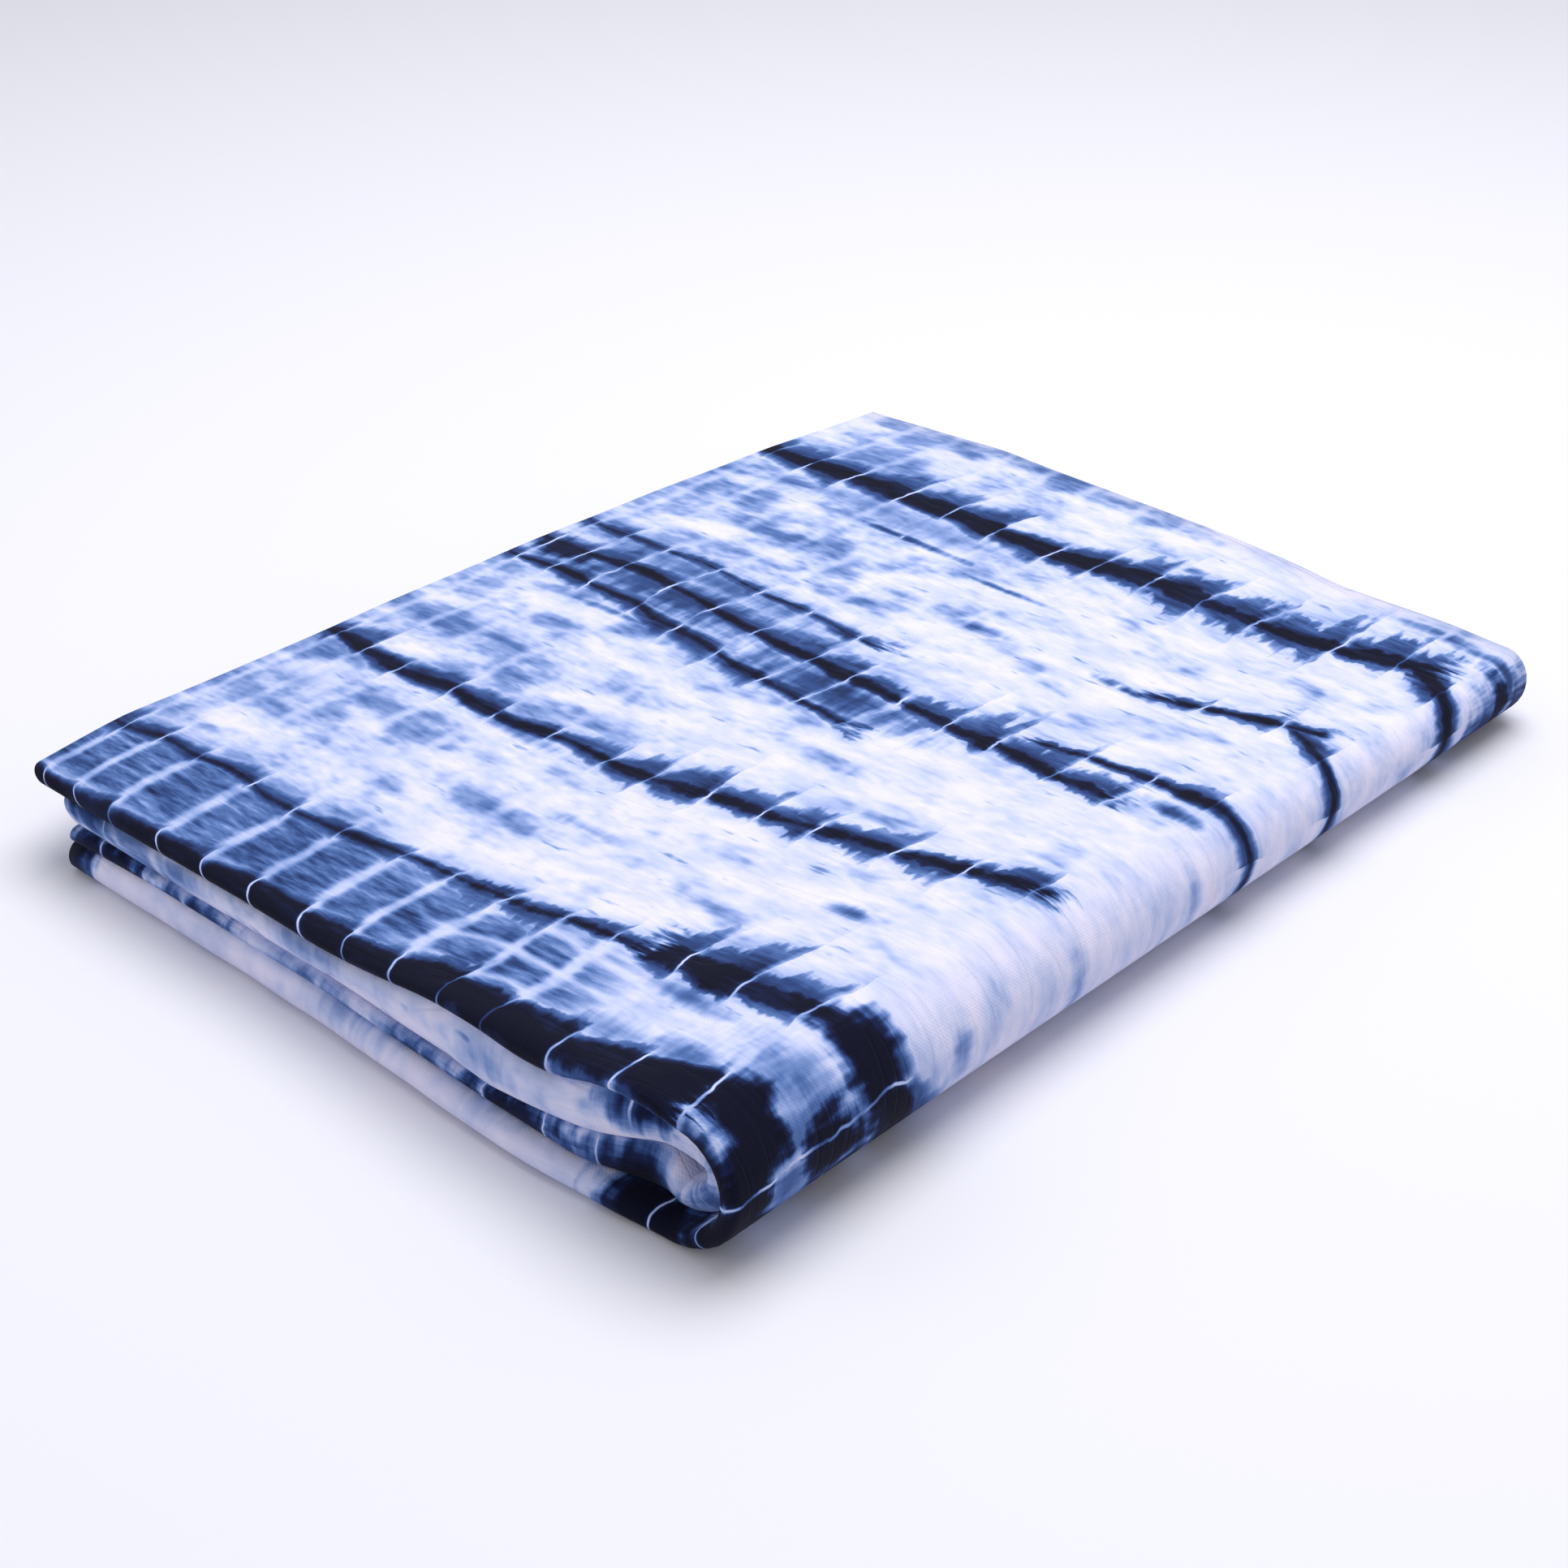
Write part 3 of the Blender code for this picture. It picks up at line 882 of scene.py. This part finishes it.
dyed_cotton = bpy.data.materials.new("dyed cotton")
dyed_cotton.use_nodes = True
tree = dyed_cotton.node_tree
tree.nodes.clear()
bench = NodeBench(tree)
flat_map = bench.add("ShaderNodeUVMap")
flat_map.uv_map = "flat_cloth"
split = bench.add("ShaderNodeSeparateXYZ")
tree.links.new(flat_map.outputs[0], split.inputs[0])
x = bench.calc("MULTIPLY_ADD", split.outputs["X"], UV_SPAN, -FLAT_LENGTH / 2 - UPPER_END)
y = bench.calc("MULTIPLY_ADD", split.outputs["Y"], -UV_SPAN, BACK_END)

marks = use_group(bench, "thread marks", Along=x, Across=y)
fingers = bench.noise(x, y, 3.6, 14.0, 2.0, 0.55, seed=1.0)
streaks = bench.noise(x, y, 12.0, 2.3, 3.0, 0.62, seed=2.0)
wander = bench.calc("SUBTRACT", bench.noise(x, y, 30.0, 24.0, 2.0, seed=3.0), 0.5)
wander = bench.calc("MULTIPLY", wander, WANDER_BY)
swell = bench.calc("MULTIPLY_ADD", bench.noise(x, y, 34.0, 40.0, 2.0, seed=13.0), 1.7, 0.1)
on_top = bench.ease(x, 84.0, 100.0, 1.0, 0.0)
crisp = bench.calc("MULTIPLY", bench.ease(x, -40.0, 45.0, 0.15, 1.0), on_top)
print("nodes so far:", len(tree.nodes))

# %% [markdown]
# ## Placing the bands and the spots
#
# Where two dyed places meet, the cloth isn't twice as dark: it has the dye of the stronger one.
# Their amounts could be added or mixed, but the larger of the two is nearer to the real dye, so
# `MAXIMUM` takes in one band after another, and then the spots.

# %% Material: bands and spots
BAND_SEED_STEP = 3.7

dye = 0.0
for number, row in enumerate(BANDS[1:]):
    start_x, end_x, start_y, middle_y, end_y, core, above_by, below_by = row
    band = use_group(
        bench, "dyed band", Along=x, Across=y, Share=marks["Share"], Segment=marks["Segment"],
        Fingers=fingers, Streaks=streaks, Wander=wander, Crisp=crisp, Swell=swell,
        From=float(start_x), To=float(end_x),
        Start=float(start_y), Middle=float(middle_y), End=float(end_y),
        Core=core, Above=above_by, Below=below_by, Seed=BAND_SEED_STEP * number,
    )
    dye = bench.calc("MAXIMUM", dye, band["Dye"])
flat_place = bench.place(x, y)
fray = bench.calc("MULTIPLY_ADD", fingers, 1.1, bench.calc("MULTIPLY_ADD", streaks, 0.5, -0.8))
for spot_x, spot_y, half_x, half_y, strength in SPOTS[1:]:
    away = bench.distance(
        flat_place, (1.0 / half_x, 1.0 / half_y, 0.0), (-spot_x / half_x, -spot_y / half_y, 0.0))
    spot = use_group(bench, "dyed spot", Away=away, Fray=fray, Strength=strength)
    dye = bench.calc("MAXIMUM", dye, spot["Dye"])
print("nodes so far:", len(tree.nodes))

# %% [markdown]
# ## Clouds and the ladder
#
# Between the bands a little dye seeped in as pale clouds and dashes, and between the two front
# bands it filled a ladder of small cells. One noise alone would look like marble. So the streaks
# and the cells between the thread marks and rungs break it up.

# %% Material: clouds and ladder
left_more = bench.ease(x, -90.0, 30.0, 0.07, -0.05)
cloudy = bench.calc("ADD", bench.noise(x, y, 24.0, 13.0, 3.0, 0.6, seed=5.0), left_more)
clouds = bench.ease(cloudy, 0.42, 0.74)
right_part = bench.ease(x, -10.0, 20.0)
near_rung = bench.ease(marks["Rung distance"], 0.0, 2.4, 0.85, 0.0)
has_rungs = bench.calc("MULTIPLY", right_part, near_rung)
off_marks = bench.ease(marks["Distance"], 0.3, 3.0, 0.2, 1.0)
cells = bench.calc("MULTIPLY", off_marks, bench.calc("SUBTRACT", 1.0, has_rungs))
wash = bench.calc("MULTIPLY", clouds, bench.calc("MULTIPLY_ADD", streaks, 0.45, 0.16))
wash = bench.calc("MULTIPLY", wash, bench.calc("MULTIPLY_ADD", cells, 0.45, 0.55))
wash = bench.calc("MULTIPLY", wash, bench.calc("MULTIPLY_ADD", on_top, 0.6, 0.4))
dashes = bench.ease(bench.noise(x, y, 12.0, 3.0, 2.0, 0.55, seed=6.0), 0.62, 0.78)
dashes = bench.calc("MULTIPLY", dashes, bench.calc("MULTIPLY_ADD", on_top, 0.24, 0.04))
dye = bench.calc("MAXIMUM", dye, bench.calc("MAXIMUM", wash, dashes))

# the ladder between the two front bands
in_ladder = bench.calc(
    "MULTIPLY", bench.ease(y, -140.0, -132.0), bench.ease(y, -118.0, -98.0, 1.0, 0.0))
in_ladder = bench.calc("MULTIPLY", in_ladder, bench.ease(x, 44.0, 66.0, 1.0, 0.0))
ladder = bench.calc("MULTIPLY", bench.calc("MULTIPLY_ADD", streaks, 1.0, -0.02),
                    bench.calc("MULTIPLY_ADD", cells, 0.8, 0.2))
dye = bench.calc("MAXIMUM", dye, bench.calc("MULTIPLY", in_ladder, ladder))
print("nodes so far:", len(tree.nodes))

# %% [markdown]
# ## Taking the thread marks away
#
# A thread mark is cloth that the dye didn't reach. White lines could be laid over the colour,
# but they would also show where there is no dye. So a mark takes a share of the dye away: a hair
# line in the near-black cores, and a wider, softer one in the blue.

# %% Material: thread marks
by_corner = bench.calc("MULTIPLY", bench.ease(x, 62.0, 84.0), bench.ease(y, -92.0, -78.0, 1.0, 0.0))
unevenness = bench.noise(x, y, 8.0, 12.0, 1.0, 0.5, seed=8.0)
hair_line = bench.ease(marks["Distance"], 0.12, 0.55, 1.0, 0.0)
hair_line = bench.calc("MULTIPLY", hair_line, bench.ease(unevenness, 0.3, 0.6, 0.35, 0.95))
is_pale = bench.ease(dye, 0.6, 0.95, 1.0, 0.25)
hair_line = bench.calc("MULTIPLY", hair_line, bench.ease(dye, 0.15, 0.65, 0.1, 1.0))
glow = bench.calc("MULTIPLY", bench.ease(marks["Distance"], 0.2, 1.9, 0.62, 0.0), is_pale)
glow = bench.calc("MULTIPLY", glow, bench.ease(dye, 0.06, 0.32, 0.15, 1.0))
glow = bench.calc("MULTIPLY", glow, bench.ease(x, -60.0, 20.0, 0.6, 1.0))
glow = bench.calc("MULTIPLY", glow, bench.ease(unevenness, 0.35, 0.6, 0.2, 1.0))
mark = bench.calc("MAXIMUM", hair_line, glow)
bound = bench.calc("MAXIMUM", on_top, by_corner)
mark = bench.calc("MULTIPLY", mark, bound)
dye = bench.calc("MULTIPLY", dye, bench.calc("SUBTRACT", 1.0, mark))
print("nodes so far:", len(tree.nodes))

# %% [markdown]
# ## From dye to colour
#
# Cotton with hardly any indigo is a lavender white. With more it turns cloudy blue, then navy,
# and near black in the cores. A mix of two colours would miss these steps, so a colour ramp
# holds one colour for each amount. A faint haze comes first, since no white on it is even.

# %% Material: colour
haze = bench.noise(x, y, 20.0, 9.0, 3.0, 0.65, seed=9.0)
dye = bench.calc("ADD", dye, bench.ease(haze, 0.32, 0.8, 0.0, 0.19))

ramp = bench.add("ShaderNodeValToRGB")
INDIGO = (
    (0.00, (0.73, 0.70, 0.87)),
    (0.14, (0.50, 0.55, 0.79)),
    (0.30, (0.235, 0.325, 0.615)),
    (0.46, (0.090, 0.165, 0.405)),
    (0.62, (0.030, 0.068, 0.215)),
    (0.80, (0.0085, 0.015, 0.062)),
    (1.00, (0.003, 0.0035, 0.015)),
)
stops = ramp.color_ramp.elements
stops[0].position, stops[1].position = INDIGO[0][0], INDIGO[-1][0]
for position, _ in INDIGO[1:-1]:
    stops.new(position)
for stop, (_, colour) in zip(stops, INDIGO):
    stop.color = (*colour, 1.0)
tree.links.new(dye, ramp.inputs[0])
print("colours in the ramp:", len(stops))

# %% [markdown]
# ## Relief and surface
#
# The cotton is matt, and its threads, fine crinkles and pressed lines catch a little light. Such
# small forms could be real geometry, at the price of millions of faces. A Bump node tilts the
# surface's normal instead. The shader is rough, with little gloss and a trace of sheen for the
# fibres.

# %% Material: relief and shader
WEAVE_SHARE = 0.10
PRESSED_WIDTH, PRESSED_HEIGHT = 0.03, -0.4
BUMP_STRENGTH, BUMP_DEPTH = 0.65, 0.42

weave = use_group(bench, "plain weave", Along=x, Across=y)
crinkles = bench.noise(x, y, 8.0, 3.5, 2.0, 0.6, seed=14.0)
pressed = bench.noise(x, y, 60.0, 7.0, 1.0, 0.5, seed=15.0)
off_line = bench.calc("ABSOLUTE", bench.calc("SUBTRACT", pressed, 0.5))
pressed = bench.ease(off_line, 0.0, PRESSED_WIDTH, PRESSED_HEIGHT, 0.0)
folds = bench.calc("ADD", crinkles, pressed)
height = bench.calc("MULTIPLY_ADD", weave["Height"], WEAVE_SHARE, folds)
bump = bench.add("ShaderNodeBump")
bump.inputs["Strength"].default_value = BUMP_STRENGTH
bump.inputs["Distance"].default_value = BUMP_DEPTH * MM
tree.links.new(height, bump.inputs["Height"])

shader = bench.add("ShaderNodeBsdfPrincipled")
shader.inputs["Roughness"].default_value = 0.9
shader.inputs["Specular IOR Level"].default_value = 0.1
shader.inputs["Sheen Weight"].default_value = 0.03
shader.inputs["Sheen Roughness"].default_value = 0.5
tree.links.new(ramp.outputs["Color"], shader.inputs["Base Color"])
tree.links.new(bump.outputs["Normal"], shader.inputs["Normal"])
output = bench.add("ShaderNodeOutputMaterial")
tree.links.new(shader.outputs[0], output.inputs["Surface"])
cloth.data.materials.append(dyed_cotton)
print("nodes in the material:", len(tree.nodes))

# %% [markdown]
# ## The floor
#
# The cloth lies on a plain pale surface. A small one with a curved backdrop would do for one
# view, but a flat floor of some metres has no edge near the cloth in any view.

# %% Floor
FLOOR_SIZE = 12.0
FLOOR_COLOUR, FLOOR_ROUGHNESS = (0.74, 0.735, 0.80, 1.0), 0.7

bpy.ops.mesh.primitive_plane_add(size=FLOOR_SIZE, location=(0.0, 0.0, 0.0))
floor = bpy.context.object
floor.name = "pale_floor"
pale = bpy.data.materials.new("pale floor")
pale.use_nodes = True
pale_shader = pale.node_tree.nodes["Principled BSDF"]
pale_shader.inputs["Base Color"].default_value = FLOOR_COLOUR
pale_shader.inputs["Roughness"].default_value = FLOOR_ROUGHNESS
floor.data.materials.append(pale)
print("floor, m:", FLOOR_SIZE)

# %% [markdown]
# ## The light
#
# The cloth was lit softly, with a soft shadow in front of it. A small bare lamp would cut hard
# shadows. So a wide round lamp hangs above and a little behind, under a bright sky, and the
# round fold and the pleats turn to shade. A weak second lamp lights the pleats from their side.

# %% Light
SKY_COLOUR, SKY_STRENGTH = (0.94, 0.95, 1.0, 1.0), 0.60
LAMPS = (
    ("name", "place", "aim", "size", "power"),
    ("key lamp", (0.0, 0.22, 1.0), (0.0, 0.08, 0.0), 0.9, 9.6),
    ("fill lamp", (-0.75, -0.80, 0.45), (0.0, -0.05, 0.0), 0.7, 1.2),
)

world = bpy.data.worlds.new("bright sky")
bpy.context.scene.world = world
world.use_nodes = True
sky = world.node_tree.nodes["Background"]
sky.inputs["Color"].default_value = SKY_COLOUR
sky.inputs["Strength"].default_value = SKY_STRENGTH


def soft_lamp(name, place, aim, size, power):
    lamp = bpy.data.lights.new(name, "AREA")
    lamp.shape = "DISK"
    lamp.size = size
    lamp.energy = power
    holder = bpy.data.objects.new(name, lamp)
    holder.location = place
    holder.rotation_euler = (Vector(aim) - Vector(place)).to_track_quat("-Z", "Y").to_euler()
    bpy.context.scene.collection.objects.link(holder)


for lamp_row in LAMPS[1:]:
    soft_lamp(*lamp_row)
bpy.context.scene.view_settings.view_transform = "Standard"
print("lamps:", len(LAMPS) - 1)

# %% [markdown]
# ## The camera
#
# The camera looks down on the pile from its near right corner. It could be placed by eye, but
# its place, tilt and lens were fitted to the pile's corners, so that the folds line up.

# %% Camera
SENSOR_WIDTH = 36.0
FRAME_PIXELS, FOCAL_PIXELS = 1932.0, 3200.0
EYE_PLACE = (0.348907, -0.390180, 0.309716)
EYE_DOWN, EYE_ROUND = 30.74, 42.58

eye = bpy.data.cameras.new("camera")
eye.sensor_width = SENSOR_WIDTH
eye.lens = SENSOR_WIDTH * FOCAL_PIXELS / FRAME_PIXELS
eye_holder = bpy.data.objects.new("camera", eye)
eye_holder.location = EYE_PLACE
eye_holder.rotation_euler = (math.radians(90.0 - EYE_DOWN), 0.0, math.radians(EYE_ROUND))
bpy.context.scene.collection.objects.link(eye_holder)
bpy.context.scene.camera = eye_holder
print("lens, mm:", round(eye.lens, 1))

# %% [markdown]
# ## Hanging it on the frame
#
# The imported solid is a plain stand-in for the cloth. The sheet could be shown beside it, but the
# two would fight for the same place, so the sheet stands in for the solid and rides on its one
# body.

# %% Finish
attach(cloth, "root")
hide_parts("folded_cloth")
